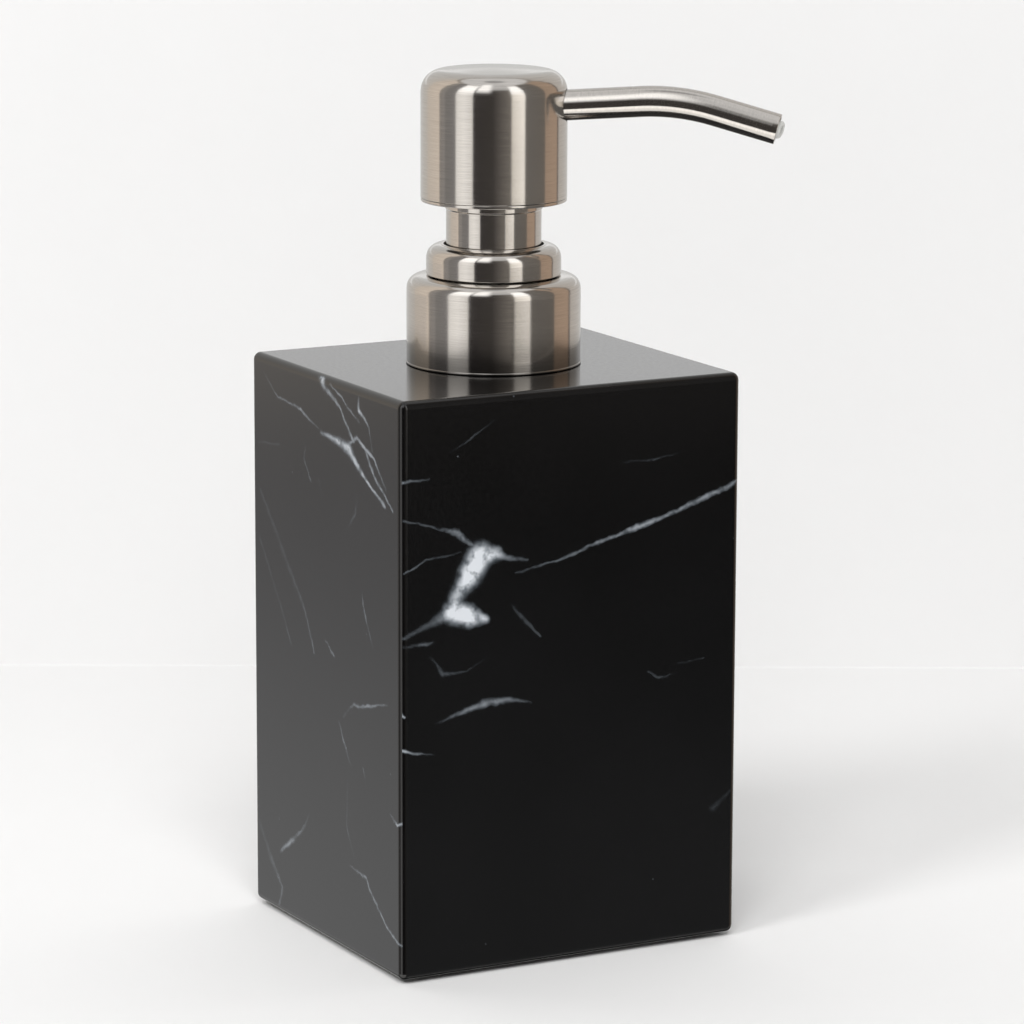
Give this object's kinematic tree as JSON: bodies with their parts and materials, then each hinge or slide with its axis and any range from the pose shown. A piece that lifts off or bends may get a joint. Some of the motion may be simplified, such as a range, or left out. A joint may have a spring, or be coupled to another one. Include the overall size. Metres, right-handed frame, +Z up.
{
  "type": "soap pump dispenser",
  "caption": "Rectangular marble bottle with a brushed steel lotion pump: a stepped closure, a domed press head and a long curved spout.",
  "frame": {"origin": "centre of the foot pad's underside", "axes": "+Z up along the pump's axis; +Y and -Y out of the block's wide faces, +X and -X out of its narrow ones; the spout leaves the head 36 degrees from +X towards -Y"},
  "size_m": [0.085, 0.0688, 0.1737],
  "materials": {
    "black_marble": "honed to a satin, black with white veins",
    "steel": "brushed round the axis",
    "white_polymer": "moulded, satin",
    "natural_polymer": "unpigmented, milky",
    "black_rubber": "matt",
    "foot_foam": "matt closed-cell sheet",
    "spring_steel": "bright drawn wire",
    "ball_steel": "polished"
  },
  "bodies": {
    "bottle": {"stone_body": "black_marble", "base_plug": "white_polymer", "base_seal": "black_rubber", "foot_pad": "foot_foam", "neck_insert": "steel"},
    "pump_unit": {"pump_housing": "natural_polymer", "chaplet": "white_polymer", "guide_ring": "steel", "neck_gasket": "black_rubber", "dip_tube": "natural_polymer", "stem_wiper": "black_rubber", "return_spring": "spring_steel"},
    "closure": {"collar_shell": "steel", "collar_liner": "white_polymer"},
    "plunger": {"pump_stem": "white_polymer", "piston": "white_polymer", "piston_seal": "black_rubber"},
    "head": {"head_shell": "steel", "head_base_ring": "steel", "neck_sleeve": "steel", "head_core": "white_polymer", "spout_tube": "steel", "nozzle_liner": "white_polymer"},
    "inlet_valve": {"inlet_ball": "ball_steel"},
    "outlet_valve": {"outlet_ball": "ball_steel"}
  },
  "joints": [
    {"name": "pump_lift", "type": "slide", "parent": "bottle", "child": "pump_unit", "axis": [0, 0, 1], "range_m": [0, 0.13]},
    {"name": "collar_turn", "type": "hinge", "parent": "pump_unit", "child": "closure", "pos_m": [0, 0, 0.124], "axis": [0, 0, 1], "range_deg": [0, 450]},
    {"name": "head_press", "type": "slide", "parent": "pump_unit", "child": "plunger", "axis": [0, 0, 1], "range_m": [-0.0084, 0], "stiffness_N_per_m": 1000, "springref_m": 0.006, "deforming": ["return_spring"]},
    {"name": "head_swivel", "type": "hinge", "parent": "plunger", "child": "head", "pos_m": [0, 0, 0.151], "axis": [0, 0, 1], "continuous": true},
    {"name": "inlet_valve_lift", "type": "slide", "parent": "pump_unit", "child": "inlet_valve", "axis": [0, 0, 1], "range_m": [0, 0.0012]},
    {"name": "outlet_valve_lift", "type": "slide", "parent": "plunger", "child": "outlet_valve", "axis": [0, 0, 1], "range_m": [0, 0.0012]}
  ]
}
